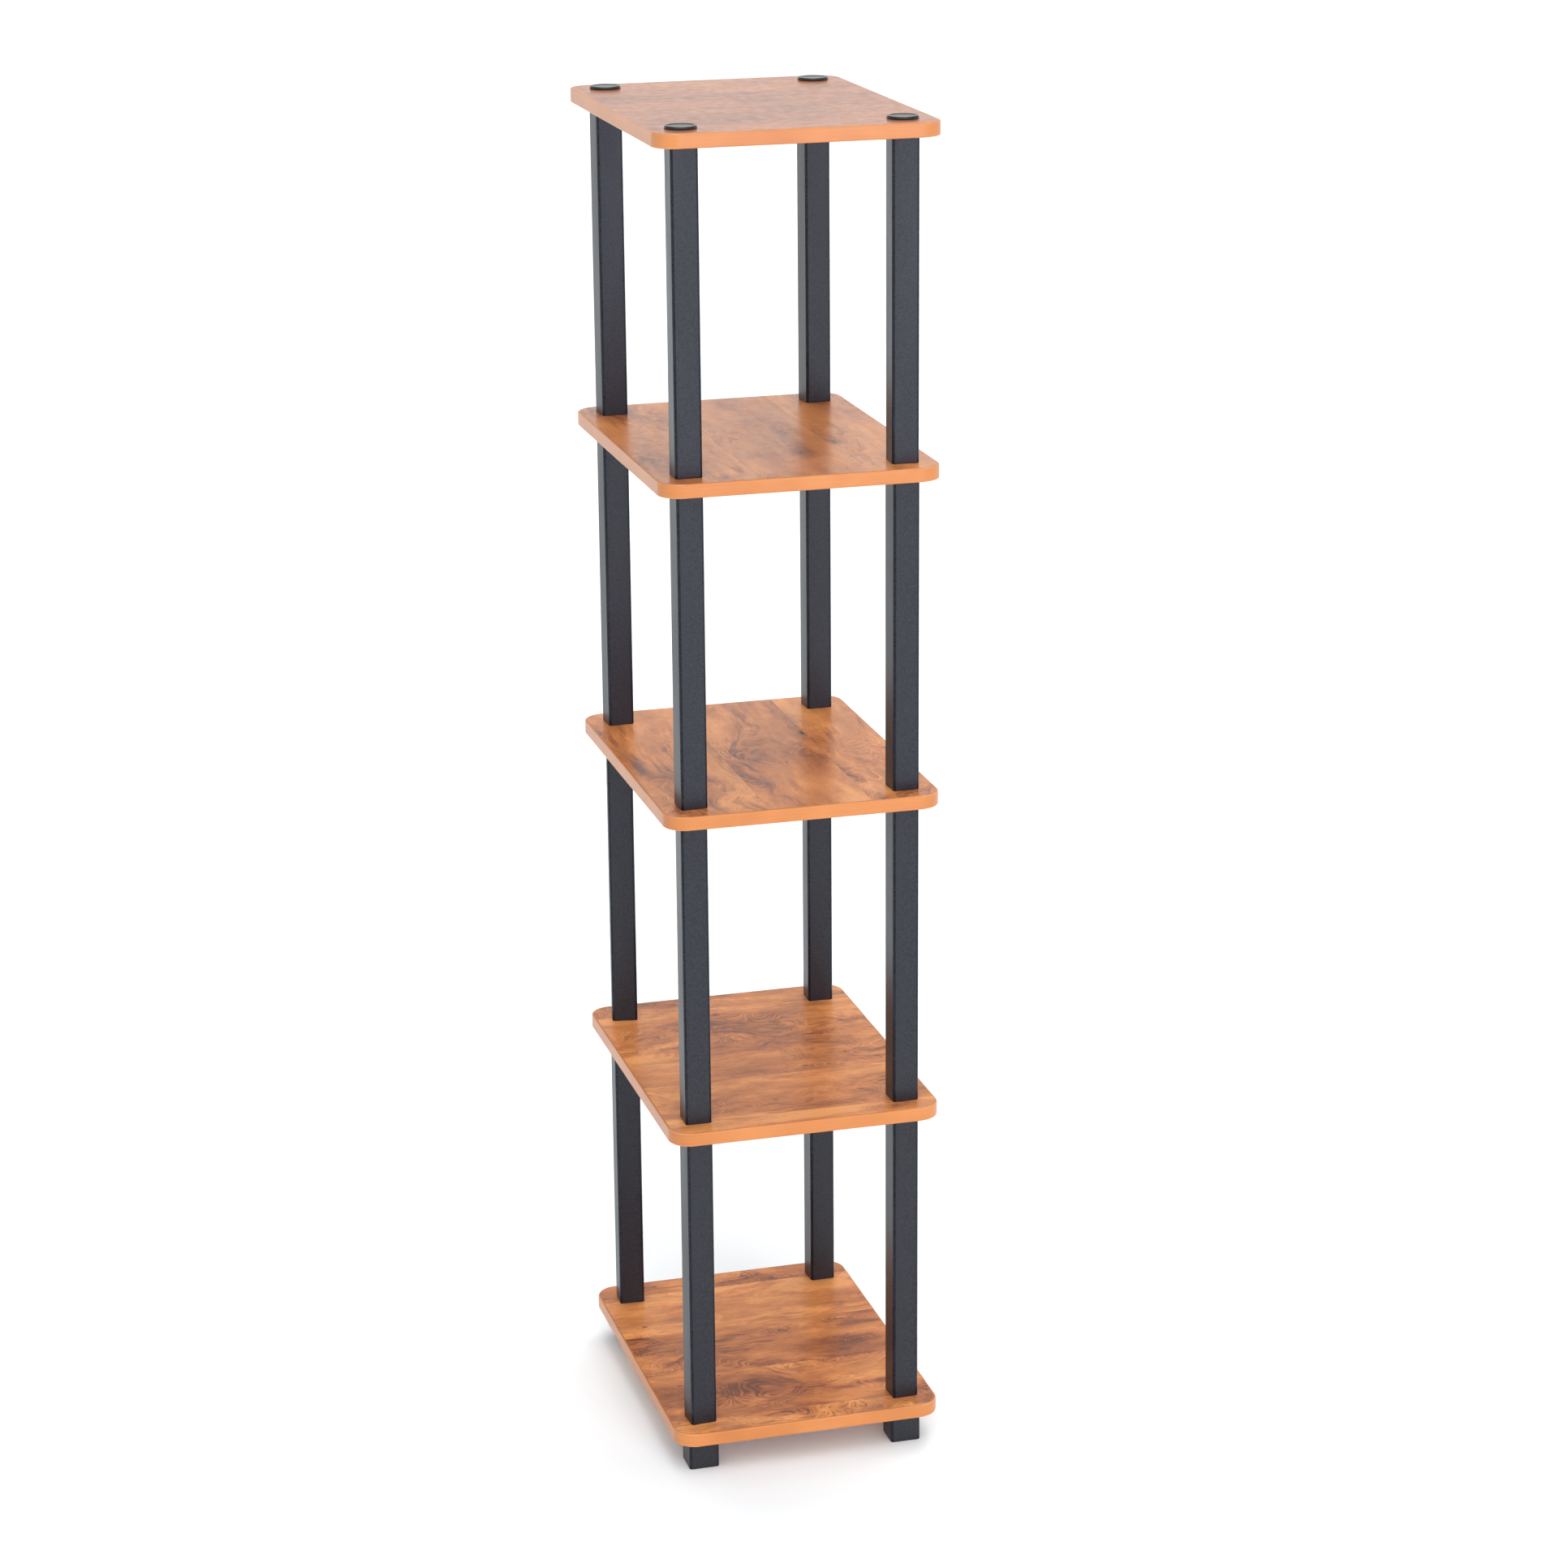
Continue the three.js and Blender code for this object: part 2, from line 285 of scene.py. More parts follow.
    # Smoke and knots darken it, and so do rare small flecks, pores and the seam between planks
    veil = along_grain(tree, bent, (4.0, 26.0), 4.0, 0.58)
    smoke = between(tree, veil, 0.55 + calm, 0.78 + calm, 0.0, 0.75)
    colour = mixed(tree, smoke, colour, SMOKE)
    halo = maths(tree, "MULTIPLY", between(tree, ragged, 0.26, 0.04), some)
    colour = mixed(tree, maths(tree, "MULTIPLY", halo, 0.45), colour, SMOKE)
    eye = maths(tree, "MULTIPLY", between(tree, ragged, 0.085, 0.035), some)
    colour = mixed(tree, maths(tree, "MULTIPLY", eye, 0.85), colour, KNOT)
    grit = vectors(tree, "MULTIPLY", bent, (42.0, 88.0, 1.0))
    flecks = add(tree, "ShaderNodeTexVoronoi", {"Vector": grit, "Scale": 1.0})
    rare = add(tree, "ShaderNodeSeparateColor", {0: flecks.outputs["Color"]}).outputs[0]
    fleck = between(tree, flecks.outputs["Distance"], 0.20, 0.08, 0.0, 0.75)
    fleck = maths(tree, "MULTIPLY", fleck, between(tree, rare, 0.93 + calm, 0.94 + calm))
    colour = mixed(tree, fleck, colour, KNOT)
    dashes = along_grain(tree, bent, (150.0, 1500.0), 1.0)
    pores = between(tree, dashes, 0.64, 0.74, 0.0, 0.22 - 1.5 * calm)
    colour = mixed(tree, pores, colour, KNOT)
    share = maths(tree, "FRACT", plank)
    edge = maths(tree, "MINIMUM", share, maths(tree, "SUBTRACT", 1.0, share))
    seam = between(tree, edge, SEAM_WIDTH / PLANK_WIDTH, 0.0, 0.0, 0.22)
    colour = mixed(tree, seam, colour, KNOT)

    roughness = between(tree, noise(tree, place, 90.0, 3.0), 0.3, 0.7, 0.29, 0.36)
    relief = maths(tree, "SUBTRACT", fibres, pores)
    finish_surface(tree, colour, roughness, relief, 0.005 * MM, **{"Specular IOR Level": 0.5})
    return made


GRAIN_TURN = (0, 0, 90, 90, 0)
PRINT_SHIFT = (
    (0.40, -0.053, 0), (1.30, 0.060, 0), (2.10, 0.0395, 0), (3.20, 0.044, 0), (4.70, 0.020, 0),
)
CALM = (0.0, 0.01, 0.045, 0.07, 0.10)
CONTRAST = (1.1, 1.05, 1.05, 0.80, 0.40)
# Painted shade: the top shelf's shift is far darker than the others', for the weaker light on its
# print. The other shelves shift only a little.
TONE_SHIFT_AND_PAINTED_SHADE = (0.02, 0.03, -0.03, 0.05, -0.32)
PLANKS_APART = 7.0
laminates = []
for level in range(SHELVES):
    cut = GRAIN_TURN[level], PRINT_SHIFT[level], PLANKS_APART * level
    look = CALM[level], CONTRAST[level], TONE_SHIFT_AND_PAINTED_SHADE[level]
    laminates.append(laminate(f"laminate_{level + 1}", *cut, *look))
print("laminates:", len(laminates))

# %% [markdown]
# Edge band is a plastic strip in a plainer and lighter tone than the boards, with long faint
# streaks along its length. Stretching a noise far more up and down than sideways gives streaks that
# follow the strip on all four sides at once, with no map to unroll. Its rounded arris is a little
# paler, where hands and cloths rub it, and that comes from a value kept on the mesh.

# %% The edge band's plastic
BAND_TONES = (
    (0.0, (0.375, 0.118, 0.027)),
    (0.5, (0.465, 0.161, 0.040)),
    (1.0, (0.555, 0.211, 0.064)),
)
RUBBED_BAND = (0.66, 0.33, 0.17, 1)


def edge_amount(tree):
    return add(tree, "ShaderNodeAttribute", attribute_name="edge").outputs["Fac"]


def band_plastic():
    made, tree, place = new_material("edge_band_plastic")
    streaks = noise(tree, vectors(tree, "MULTIPLY", place, (16.0, 16.0, 700.0)), 1.0, 3.0, 0.55)
    clouds = noise(tree, place, 16.0, 2.0)
    tone = maths(tree, "ADD", swing(tree, streaks, 0.45), swing(tree, clouds, 0.9))
    colour = ramp(tree, maths(tree, "ADD", tone, 0.5), BAND_TONES)
    wear = between(tree, noise(tree, place, 60.0), 0.3, 0.7, 0.1, 0.4)
    rubbed = maths(tree, "MULTIPLY", edge_amount(tree), wear)
    colour = mixed(tree, rubbed, colour, RUBBED_BAND)
    roughness = between(tree, streaks, 0.3, 0.7, 0.29, 0.33)
    finish_surface(tree, colour, roughness, streaks, 0.004 * MM)
    return made


# %% [markdown]
# Posts, feet and studs are moulded in charcoal plastic. The mould's spark-eroded wall leaves a very
# fine grain and slightly coarser pits, which break up reflections. The melt leaves faint flow marks
# along the length, and the round corners are polished a little by handling. Their darker look is
# painted shade: a lower specular level makes them mirror less of the bright studio.
# One recipe serves all three, with its own colour and grain for each. The screw caps come out of a
# smoother mould, so theirs is glossier, with only hairlines and a trace of dust.

# %% The plastics
WORN_LIGHTER = 2.5


def moulded_plastic(name, dark, light, dullness, grain, relief):
    made, tree, place = new_material(name)
    edge = edge_amount(tree)
    speckle = noise(tree, place, grain, 3.0, 0.65)
    flow = noise(tree, vectors(tree, "MULTIPLY", place, (34.0, 34.0, 5.0)), 1.0, 3.0)
    tone = maths(tree, "MULTIPLY_ADD", speckle, 0.55, maths(tree, "MULTIPLY", flow, 0.45))
    colour = mixed(tree, between(tree, tone, 0.35, 0.65), (*dark, 1), (*light, 1))
    wear = between(tree, noise(tree, place, 45.0, 4.0), 0.45, 0.7, 0.0, 0.5)
    worn = maths(tree, "MULTIPLY", edge, wear)
    colour = mixed(tree, worn, colour, tuple(WORN_LIGHTER * part for part in light) + (1,))
    pits = noise(tree, place, 520.0, 2.0, 0.6)
    roughness = between(tree, flow, 0.3, 0.7, dullness - 0.03, dullness + 0.05)
    roughness = maths(tree, "MULTIPLY_ADD", edge, -0.17, roughness)
    roughness = maths(tree, "ADD", roughness, swing(tree, pits, 0.16))
    # Painted shade: the round corners get a lower specular level, so they mirror less of the bright
    # studio and look darker.
    gloss_with_painted_edge_shade = maths(tree, "MULTIPLY_ADD", edge, -0.26, 0.52)
    gloss_with_painted_edge_shade = maths(tree, "ADD", gloss_with_painted_edge_shade, swing(tree, pits, 0.50))
    finish_surface(tree, colour, roughness, speckle, relief, **{"Specular IOR Level": gloss_with_painted_edge_shade})
    return made


def polished_plastic(name, colour, dust):
    made, tree, place = new_material(name)
    hairlines = noise(tree, vectors(tree, "MULTIPLY", place, (2600.0, 150.0, 150.0)), 1.0, 2.0)
    specks = between(tree, noise(tree, place, 900.0, 2.0), 0.66, 0.76, 0.0, 0.35)
    base = mixed(tree, specks, (*colour, 1), (*dust, 1))
    roughness = between(tree, hairlines, 0.4, 0.75, 0.30, 0.40)
    finish_surface(tree, base, roughness, hairlines, 0.002 * MM, **{"Specular IOR Level": 0.35})
    return made


POST_TONES = (0.0020, 0.0026, 0.0070), (0.0045, 0.0054, 0.0110)
FOOT_TONES = (0.0030, 0.0038, 0.0085), (0.0070, 0.0080, 0.0130)
STUD_TONES = (0.010, 0.010, 0.012), (0.018, 0.018, 0.020)
CAP_TONES = (0.010, 0.011, 0.012), (0.16, 0.16, 0.16)

band_finish = band_plastic()
post_finish = moulded_plastic("post_plastic", *POST_TONES, 0.38, 1500.0, 0.035 * MM)
foot_finish = moulded_plastic("foot_plastic", *FOOT_TONES, 0.44, 1100.0, 0.050 * MM)
stud_finish = moulded_plastic("stud_plastic", *STUD_TONES, 0.42, 1300.0, 0.020 * MM)
cap_finish = polished_plastic("cap_plastic", *CAP_TONES)
print("plastics: band, post, foot, stud, cap")

# %% [markdown]
# Every piece starts as an operator's shape and is cut down from there, as on a bench. The helpers
# turn a finished bmesh into an object that takes the place of its plain node, and the rounded block
# is the start of boards, bands, posts and feet alike: a cube scaled to size, its upright edges
# bevelled, then its end edges eased.

# %% Bench helpers
SMOOTH_ANGLE = math.radians(32)


def size_of(node):
    low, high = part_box(node)
    return high - low


def centre_of(node):
    low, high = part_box(node)
    return (low + high) / 2


def piece_from(bm, name, finish, node):
    """Makes a bmesh into a finished piece, which takes the place of its plain node."""
    bmesh.ops.recalc_face_normals(bm, faces=bm.faces)
    mesh = bpy.data.meshes.new(name)
    bm.to_mesh(mesh)
    bm.free()
    mesh.shade_smooth()
    mesh.set_sharp_from_angle(angle=SMOOTH_ANGLE)
    made = bpy.data.objects.new(name, mesh)
    scene.collection.objects.link(made)
    mesh.materials.append(finish)
    flat = made.modifiers.new("flat faces stay flat", "WEIGHTED_NORMAL")
    flat.keep_sharp = True
    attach(made, BODY)
    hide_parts(node)
    return made


def bevel(bm, edges, radius, segments):
    bmesh.ops.bevel(
        bm, geom=edges, offset=radius, offset_type="OFFSET", segments=segments, profile=0.5,
        affect="EDGES", material=-1, clamp_overlap=True,
    )


def upright_edges(bm):
    return [e for e in bm.edges if abs((e.verts[0].co - e.verts[1].co).normalized().z) > 0.99]


def end_faces(bm):
    """The flat top and bottom of a block, the top one first."""
    flats = [f for f in bm.faces if abs(f.normal.z) > 0.99]
    return sorted(flats, key=lambda f: -f.calc_center_median().z)


def end_edges(bm):
    ends = end_faces(bm)
    return [e for e in bm.edges if any(f in ends for f in e.link_faces)]


def block(size, corner_radius, corner_segments):
    """An upright block about the origin, standing on z = 0, with round upright corners."""
    bm = bmesh.new()
    bmesh.ops.create_cube(bm, size=1.0)
    bmesh.ops.scale(bm, vec=size, verts=bm.verts)
    bmesh.ops.translate(bm, vec=(0, 0, size[2] / 2), verts=bm.verts)
    bevel(bm, upright_edges(bm), corner_radius, corner_segments)
    bm.normal_update()
    return bm


def mark_edges(bm, smallest_flat):
    """Keeps 1 on the vertices that only touch small faces, which are those of the round edges."""
    layer = bm.verts.layers.float.new("edge")
    for vert in bm.verts:
        vert[layer] = float(all(face.calc_area() < smallest_flat for face in vert.link_faces))


def boundary(bm):
    return [e for e in bm.edges if e.is_boundary]


def ring(bm, place, radius, segments):
    """Draws a circle, and hands back all the edges that have no face yet."""
    upright = Matrix.Translation(place)
    bmesh.ops.create_circle(bm, segments=segments, radius=radius, matrix=upright)
    return [e for e in bm.edges if e.is_wire]


def put(bm, place, turn=0.0):
    bmesh.ops.rotate(bm, cent=(0, 0, 0), matrix=Matrix.Rotation(turn, 3, "Z"), verts=bm.verts)
    bmesh.ops.translate(bm, vec=place, verts=bm.verts)


# %% [markdown]
# A board is one sheet with four holes. Cutting holes afterwards would need a boolean, so the sheet
# is drawn the other way round: the outline and the four circles are loops of edges, one fill makes
# the face between them, and an extrusion gives it its thickness.

# %% The boards
BOARD_CORNER = 22.0 * MM
BOARD_CORNER_SEGMENTS = 16
GLUE_LINE = 0.02 * MM
BAND = 2.0 * MM
STUD_RADIUS = 7.5 * MM
HOLE_RADIUS = STUD_RADIUS + 0.5 * MM
HOLE_SEGMENTS = 32
hole_places = [Vector((*centre_of(f"cap_{corner}").xy, 0)) for corner in CORNERS]


def board(level):
    node = f"shelf_{level + 1}"
    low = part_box(node)[0]
    band_size = size_of(f"edge_band_{level + 1}")
    inset = 2 * (BAND + GLUE_LINE)
    size = (band_size.x - inset, band_size.y - inset, size_of(node).z)
    bm = block(size, BOARD_CORNER, BOARD_CORNER_SEGMENTS)
    base = end_faces(bm)[1]
    outline = len(base.verts)
    bmesh.ops.delete(bm, geom=[f for f in bm.faces if f != base], context="FACES")
    bmesh.ops.delete(bm, geom=bm.faces[:], context="FACES_ONLY")
    for place in hole_places:
        ring(bm, place, HOLE_RADIUS, HOLE_SEGMENTS)
    bmesh.ops.triangle_fill(bm, use_beauty=True, edges=bm.edges[:])
    thick = bmesh.ops.extrude_face_region(bm, geom=bm.faces[:])
    raised = [v for v in thick["geom"] if isinstance(v, bmesh.types.BMVert)]
    bmesh.ops.translate(bm, vec=(0, 0, size[2]), verts=raised)
    put(bm, (0, 0, low.z))
    made = piece_from(bm, f"board_{level + 1}", laminates[level], node)
    print(made.name, "outline points", outline, "faces", len(made.data.polygons))


for level in range(SHELVES):
    board(level)

# %% [markdown]
# The band is glued round the board and its two arrises are trimmed round. From a block with the
# rack's full outline, the ends are eased, an inset leaves the strip's own thickness, the middle is
# taken out, and a bridge between the two inner loops closes the inside.

# %% The edge bands
BAND_CORNER = 24.0 * MM
BAND_CORNER_SEGMENTS = 16
ARRIS = 1.4 * MM
ARRIS_SEGMENTS = 4
BAND_SMALLEST_FLAT = 6.0 * MM * MM


def edge_band(level):
    node = f"edge_band_{level + 1}"
    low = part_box(node)[0]
    bm = block(size_of(node), BAND_CORNER, BAND_CORNER_SEGMENTS)
    bevel(bm, end_edges(bm), ARRIS, ARRIS_SEGMENTS)
    bm.normal_update()
    mark_edges(bm, BAND_SMALLEST_FLAT)
    ends = end_faces(bm)[:1] + end_faces(bm)[-1:]
    bmesh.ops.inset_region(
        bm, faces=ends, thickness=BAND - ARRIS, use_even_offset=True, use_boundary=True,
    )
    bmesh.ops.delete(bm, geom=ends, context="FACES")
    bmesh.ops.bridge_loops(bm, edges=boundary(bm))
    put(bm, (0, 0, low.z))
    made = piece_from(bm, f"band_{level + 1}", band_finish, node)
    print(made.name, "faces", len(made.data.polygons))


for level in range(SHELVES):
    edge_band(level)

# %% [markdown]
# A post is a moulded square tube. Its turn about the vertical is read from its node: each upright
# face's direction is multiplied by four, which makes the four sides of a square agree, and the mean
# direction divided by four is the turn. Then come round corners, eased ends, the bore that takes
# the stud above, and the open foot that the plug is pressed into.

# %% The posts
POST_CORNER = 3.0 * MM
POST_CORNER_SEGMENTS = 6
POST_EASING = 0.7 * MM
POST_EASING_SEGMENTS = 3
POST_WALL = 1.8 * MM
HEAD_PLATE = 18.4 * MM
POST_SIDE = 28.5 * MM
SOCKET_RADIUS = STUD_RADIUS + 0.3 * MM
SOCKET_DEPTH = 16.0 * MM
BORE_SEGMENTS = 40
POST_SMALLEST_FLAT = 320 * MM * MM


def turn_of(node):
    """How far a square piece is turned about the vertical, in radians."""
    total = 0j
    for face in nodes[node].data.polygons:
        if abs(face.normal.z) < 0.1:
            total += face.area * complex(face.normal.x, face.normal.y) ** 4
    return cmath.phase(total) / 4


def sink(bm, mouth, rise):
    """Gives a round mouth its wall and its floor, which lies higher by the rise."""
    wall = bmesh.ops.extrude_edge_only(bm, edges=mouth)["geom"]
    deep = [v for v in wall if isinstance(v, bmesh.types.BMVert)]
    bmesh.ops.translate(bm, vec=(0, 0, rise), verts=deep)
    bmesh.ops.contextual_create(bm, geom=[e for e in wall if isinstance(e, bmesh.types.BMEdge)])


def bore(bm, face, radius, depth):
    """Opens a round blind hole, straight down, in a flat face that looks up."""
    rim = face.edges[:]
    centre = face.calc_center_bounds()
    bmesh.ops.delete(bm, geom=[face], context="FACES_ONLY")
    mouth = ring(bm, centre, radius, BORE_SEGMENTS)
    bmesh.ops.triangle_fill(bm, edges=rim + mouth, use_beauty=True)
    sink(bm, mouth, -depth)


def hollow(bm, face, wall, rise):
    """Opens a flat end to a hollow with the given wall, whose floor lies higher by the rise."""
    bmesh.ops.inset_region(bm, faces=[face], thickness=wall, use_even_offset=True)
    pushed = bmesh.ops.extrude_discrete_faces(bm, faces=[face])["faces"]
    bmesh.ops.translate(bm, vec=(0, 0, rise), verts=pushed[0].verts)


def post(tier, corner):
    node = f"post_{tier}_{corner}"
    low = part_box(node)[0]
    length = size_of(node).z
    bm = block((POST_SIDE, POST_SIDE, length), POST_CORNER, POST_CORNER_SEGMENTS)
    bevel(bm, end_edges(bm), POST_EASING, POST_EASING_SEGMENTS)
    bm.normal_update()
    mark_edges(bm, POST_SMALLEST_FLAT)
    ends = end_faces(bm)
    bore(bm, ends[0], SOCKET_RADIUS, SOCKET_DEPTH)
    hollow(bm, ends[-1], POST_WALL - POST_EASING, length - HEAD_PLATE)
    put(bm, (*centre_of(node).xy, low.z), turn_of(node))
    return piece_from(bm, f"upright_{tier}_{corner}", post_finish, node)


for tier in range(1, TIERS + 1):
    made = [post(tier, corner) for corner in CORNERS]
    turns = [round(math.degrees(turn_of(f"post_{tier}_{corner}")), 1) for corner in CORNERS]
    print(f"tier {tier}: {len(made)} posts, turned {turns} degrees")

# %% [markdown]
# The feet are stubby versions of the posts, a little wider, and closed below where they stand on
# the floor. Their edges are eased a little more, so that the rack slides without marking.

# %% The feet
FOOT_SIDE = 33.0 * MM
FOOT_CORNER = 3.0 * MM
FOOT_EASING = 0.8 * MM
FOOT_SMALLEST_FLAT = 60 * MM * MM


def foot(corner):
    node = f"foot_{corner}"
    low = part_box(node)[0]
    bm = block((FOOT_SIDE, FOOT_SIDE, size_of(node).z), FOOT_CORNER, POST_CORNER_SEGMENTS)
    bevel(bm, end_edges(bm), FOOT_EASING, POST_EASING_SEGMENTS)
    bm.normal_update()
    mark_edges(bm, FOOT_SMALLEST_FLAT)
    bore(bm, end_faces(bm)[0], SOCKET_RADIUS, SOCKET_DEPTH)
    put(bm, (*centre_of(node).xy, low.z))
    return piece_from(bm, f"foot_block_{corner}", foot_finish, node)


feet = [foot(corner) for corner in CORNERS]
print("feet:", len(feet))

# %% [markdown]
# Each post holds a stud piece: a hollow square plug, pressed into the post's open foot, and a
# coarse screw that hangs from it through the board. A spin can wind a thread as well as turn a
# bowl: the outline of one ridge goes round the axis and rises by one pitch with every turn, until
# its windings join. Two cuts trim it to length, its tip is tapered so that it finds the socket,
# and it is cored from below, because moulded walls are kept even.

# %% The studs
PLUG_CLEARANCE = 0.3 * MM
PLUG_SIDE = POST_SIDE - 2 * (POST_WALL + PLUG_CLEARANCE)
PLUG_CORNER = 1.0 * MM
PLUG_CORNER_SEGMENTS = 2
PLUG_LENGTH = 20.0 * MM
PLUG_WALL = 1.8 * MM
PLUG_FLOOR = 4.0 * MM
STUD_TIP = 1.5 * MM
CORE_RADIUS = 4.2 * MM
THREAD_PITCH = 3.0 * MM
THREAD_DEPTH = 0.9 * MM
THREAD_STEPS = 40
WELD = 0.001 * MM
RIM_WELD = 0.1 * MM
RIDGE_SHARES = ((1, 0.0), (1, 0.2), (0, 0.4), (0, 0.7), (1, 0.9), (1, 1.0))


def thread(length):
    """A right-hand thread that hangs below z = 0, open at both ends, with a tapered tip.

    It starts half a step off, so that neither cut meets a vertex.
    """
    bm = bmesh.new()
    start = -length - THREAD_PITCH * (1 + 0.5 / THREAD_STEPS)
    outline = [
        bm.verts.new((STUD_RADIUS - depth * THREAD_DEPTH, 0, start + rise * THREAD_PITCH))
        for depth, rise in RIDGE_SHARES
    ]
    edges = [bm.edges.new(pair) for pair in zip(outline, outline[1:])]
    turns = math.ceil(length / THREAD_PITCH) + 2
    bmesh.ops.spin(
        bm, geom=outline + edges, cent=(0, 0, 0), axis=(0, 0, 1), angle=math.tau * turns,
        steps=THREAD_STEPS * turns, dvec=(0, 0, THREAD_PITCH / THREAD_STEPS),
    )
    bmesh.ops.remove_doubles(bm, verts=bm.verts, dist=WELD)
    for height, side in ((0, "clear_outer"), (-length, "clear_inner")):
        everything = bm.verts[:] + bm.edges[:] + bm.faces[:]
        plane = {"plane_co": (0, 0, height), "plane_no": (0, 0, 1), side: True}
        bmesh.ops.bisect_plane(bm, geom=everything, **plane)
    rims = [v for v in bm.verts if v.is_boundary]
    bmesh.ops.remove_doubles(bm, verts=rims, dist=RIM_WELD)
    for vert in bm.verts:
        widest = STUD_RADIUS - STUD_TIP + vert.co.z + length
        vert.co.xy *= min(1.0, widest / vert.co.xy.length)
    return bm


def hang_stud(bm, length, core_roof):
    """Hangs a threaded and cored stud from the open mouth that a body has at z = 0."""
    mouth = boundary(bm)
    wound = bpy.data.meshes.new("thread")
    screw = thread(length)
    screw.to_mesh(wound)
    screw.free()
    bm.from_mesh(wound)
    bpy.data.meshes.remove(wound)
    rims = [e for e in boundary(bm) if e not in mouth]
    top = [e for e in rims if e.verts[0].co.z > -length / 2]
    tip = [e for e in rims if e not in top]
    bmesh.ops.triangle_fill(bm, edges=mouth + top, use_beauty=True)
    core = ring(bm, (0, 0, -length), CORE_RADIUS, THREAD_STEPS)
    bmesh.ops.triangle_fill(bm, edges=tip + core, use_beauty=True)
    sink(bm, core, length - core_roof)


def plug_and_screw(length):
    """A stud piece that stands upright, with the plug's foot at z = 0."""
    bm = block((PLUG_SIDE, PLUG_SIDE, PLUG_LENGTH), PLUG_CORNER, PLUG_CORNER_SEGMENTS)
    top, base = end_faces(bm)
    hollow(bm, top, PLUG_WALL, PLUG_FLOOR - PLUG_LENGTH)
    bmesh.ops.delete(bm, geom=[base], context="FACES_ONLY")
    hang_stud(bm, length, 0)
    bm.verts.layers.float.new("edge")
    return bm


stud_model = plug_and_screw(size_of("stud_1_front_left").z - PLUG_LENGTH)


def stud(tier, corner):
    node = f"stud_{tier}_{corner}"
    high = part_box(node)[1]
    bm = stud_model.copy()
    put(bm, (*centre_of(node).xy, high.z - PLUG_LENGTH), turn_of(f"post_{tier}_{corner}"))
    return piece_from(bm, f"screw_plug_{tier}_{corner}", stud_finish, node)


studs = [stud(tier, corner) for tier in range(1, TIERS + 1) for corner in CORNERS]
print("studs:", len(studs), "of", len(studs[0].data.polygons), "faces")

# %% [markdown]
# A screw cap is turned work: half of its outline, spun all the way round. The profile goes from
# the middle of the dished top, over the rim, to the mouth that its stem hangs from, and the stem is
# the same threaded stud as on the posts, only shorter. Rim and under edge are bevelled after the
# spin, because a bevel makes a rounder arc than points would.

# %% The screw caps
CAP_RADIUS = 16.3 * MM
CAP_HEIGHT = 3.2 * MM
CAP_RIM = 1.5 * MM
CAP_RIM_SEGMENTS = 6
CAP_UNDER = 0.4 * MM
CAP_UNDER_SEGMENTS = 2
DISH_RADIUS = 12.6 * MM
DISH_DEPTH = 0.4 * MM
DISH_SLOPE = 0.7 * MM
CORE_ROOF = 1.5 * MM
CAP_STEPS = 72
NEAR = 0.01 * MM


def spin(bm, profile, steps):
    """Turns an open profile of radius and height pairs all the way round Z."""
    verts = [bm.verts.new((radius, 0, height)) for radius, height in profile]
    edges = [bm.edges.new(pair) for pair in zip(verts, verts[1:])]
    bmesh.ops.spin(
        bm, geom=verts + edges, cent=(0, 0, 0), axis=(0, 0, 1), angle=math.tau, steps=steps,
        use_merge=True,
    )
    bmesh.ops.remove_doubles(bm, verts=bm.verts, dist=WELD)


def ring_edges(bm, radius, height):
    """The edges that run round the axis at this radius and height."""
    def on_ring(vert):
        return abs(vert.co.xy.length - radius) < NEAR and abs(vert.co.z - height) < NEAR
    return [e for e in bm.edges if on_ring(e.verts[0]) and on_ring(e.verts[1])]


def cap_and_stem(length):
    """A screw cap whose head stands on z = 0."""
    profile = [
        (0, CAP_HEIGHT - DISH_DEPTH),
        (DISH_RADIUS, CAP_HEIGHT - DISH_DEPTH),
        (DISH_RADIUS + DISH_SLOPE, CAP_HEIGHT),
        (CAP_RADIUS, CAP_HEIGHT),
        (CAP_RADIUS, 0),
        (HOLE_RADIUS, 0),
    ]
    bm = bmesh.new()
    spin(bm, profile, CAP_STEPS)
    bevel(bm, ring_edges(bm, CAP_RADIUS, CAP_HEIGHT), CAP_RIM, CAP_RIM_SEGMENTS)
    bevel(bm, ring_edges(bm, CAP_RADIUS, 0), CAP_UNDER, CAP_UNDER_SEGMENTS)
    hang_stud(bm, length, CORE_ROOF)
    bm.verts.layers.float.new("edge")
    return bm


cap_model = cap_and_stem(size_of("cap_front_left").z - CAP_HEIGHT)


def cap(corner):
    node = f"cap_{corner}"
    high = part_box(node)[1]
    bm = cap_model.copy()
    put(bm, (*centre_of(node).xy, high.z - CAP_HEIGHT))
    return piece_from(bm, f"screw_cap_{corner}", cap_finish, node)


caps = [cap(corner) for corner in CORNERS]
print("caps:", len(caps), "of", len(caps[0].data.polygons), "faces")

# %% [markdown]
# The rack was photographed on a white floor, before a backdrop that is bright only near the floor.
# That explains all its sheens: the upper shelves mirror the bright foot of the backdrop and look
# washed, the lower ones mirror its darker part and keep their colour, and the posts mirror the
# floor. The backdrop is the world here, graded by height.
#
# Three soft boxes light it. The key stands in front and a little to the left. One high at the back
# throws the short shadow on the floor in front of the rack. A low one fills in the front edges of
# the boards: it is a bounce card rather than a lamp, so it has neither shadow nor reflection. Each
# is a sun with a very wide disc, which lights the floor evenly and keeps every shadow soft.
#
# A fourth stands close by in front, to the right, like a window at chest height. The photo's
# topmost posts are lighter and bluer than the others: seen from the camera, only they mirror
# something above the floor, and here it is this lamp.

